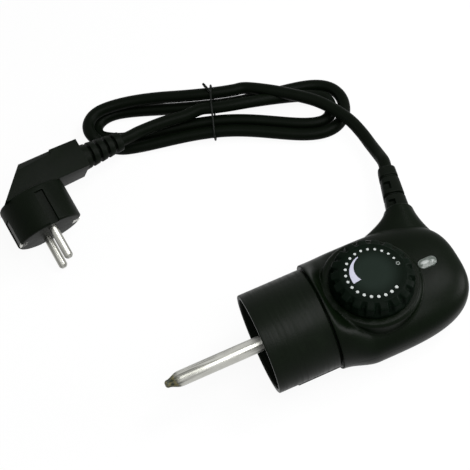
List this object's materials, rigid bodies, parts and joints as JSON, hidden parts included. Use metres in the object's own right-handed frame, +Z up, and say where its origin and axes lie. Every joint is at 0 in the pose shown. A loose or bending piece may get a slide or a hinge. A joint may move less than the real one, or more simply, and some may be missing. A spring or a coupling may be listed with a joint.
{
  "type": "removable thermostat",
  "caption": "Plug-on thermostat with an open round hood, immersion probe, dial with dots, lamp, side strain relief, and a mains cord tied in a hank that ends in an angled plug.",
  "frame": {"origin": "on the probe's axis, in the plane of the hood's mouth", "axes": "+X along the probe's axis to the body's tail, +Y to the side where the cord leaves, +Z up through the dial"},
  "size_m": [0.2091, 0.2214, 0.0548],
  "materials": {
    "body": "satin moulded thermoset",
    "marks": "printed",
    "lens": "clear, frosted inside",
    "nickel": "bright nickel plate",
    "stained": "heat stained",
    "steel": "zinc plated",
    "brass": "plain",
    "copper": "spring alloy",
    "insulator": "ceramic-filled",
    "rubber": "soft sheath",
    "neon": "clear",
    "brown": "wire sheath",
    "blue": "wire sheath",
    "green_yellow": "wire sheath",
    "black_wire": "wire sheath",
    "tie": "coated wire"
  },
  "bodies": {
    "housing": {"housing_upper": "body", "housing_lower": "body", "hood": "body", "lamp_lens": "lens", "neon_lamp": "neon", "lamp_resistor": "insulator", "probe_tube": "nickel", "probe_tip": "stained", "probe_flange": "steel", "terminal_block": "insulator", "socket_sleeves": "rubber", "line_socket": "brass", "neutral_socket": "brass", "earth_spring": "nickel", "mechanism_frame": "steel", "contact_stack": "insulator", "wire_line": "brown", "wire_load": "black_wire", "wire_neutral": "blue", "wire_earth": "green_yellow", "cord_clamp": "insulator", "clamp_screws": "steel", "frame_screws": "steel", "housing_screws": "steel", "cord_boot": "rubber", "cord_tail": "rubber", "cord_to_hank": "rubber", "cord_hank": "rubber", "cord_to_plug": "rubber", "twist_tie": "tie", "plug_body": "body", "plug_boot": "rubber", "plug_pins": "nickel", "plug_earth_clips": "brass"},
    "dial": {"dial_knob": "body", "dial_marks": "marks", "dial_spindle": "steel", "adjusting_cam": "insulator", "spindle_clip": "steel"},
    "set_arm": {"set_blade": "copper", "set_contact": "nickel", "cam_pin": "insulator"},
    "rod": {"push_rod": "insulator"},
    "moving_arm": {"moving_blade": "copper", "moving_contact": "nickel"}
  },
  "joints": [
    {"name": "dial_turn", "type": "hinge", "parent": "housing", "child": "dial", "pos_m": [0.063, 0, 0.022], "axis": [0.1045, 0, 0.9945], "range_deg": [-300, 0]},
    {"name": "set_arm_swing", "type": "hinge", "parent": "housing", "child": "set_arm", "pos_m": [0.0505, 0.017, 0], "axis": [0, 0, 1], "range_deg": [-2.4, 0]},
    {"name": "rod_slide", "type": "slide", "parent": "housing", "child": "rod", "axis": [-1, 0, 0], "range_m": [0, 0.0004], "stiffness_N_per_m": 200},
    {"name": "moving_arm_swing", "type": "hinge", "parent": "housing", "child": "moving_arm", "pos_m": [0.0464, 0.017, 0], "axis": [0, 0, 1], "range_deg": [-1.4, 0]}
  ],
  "couplings": [
    {"joint": "set_arm_swing", "follows": "dial_turn", "ratio": 0.00786},
    {"joint": "moving_arm_swing", "follows": "rod_slide", "rad_per_m": -58.8}
  ]
}
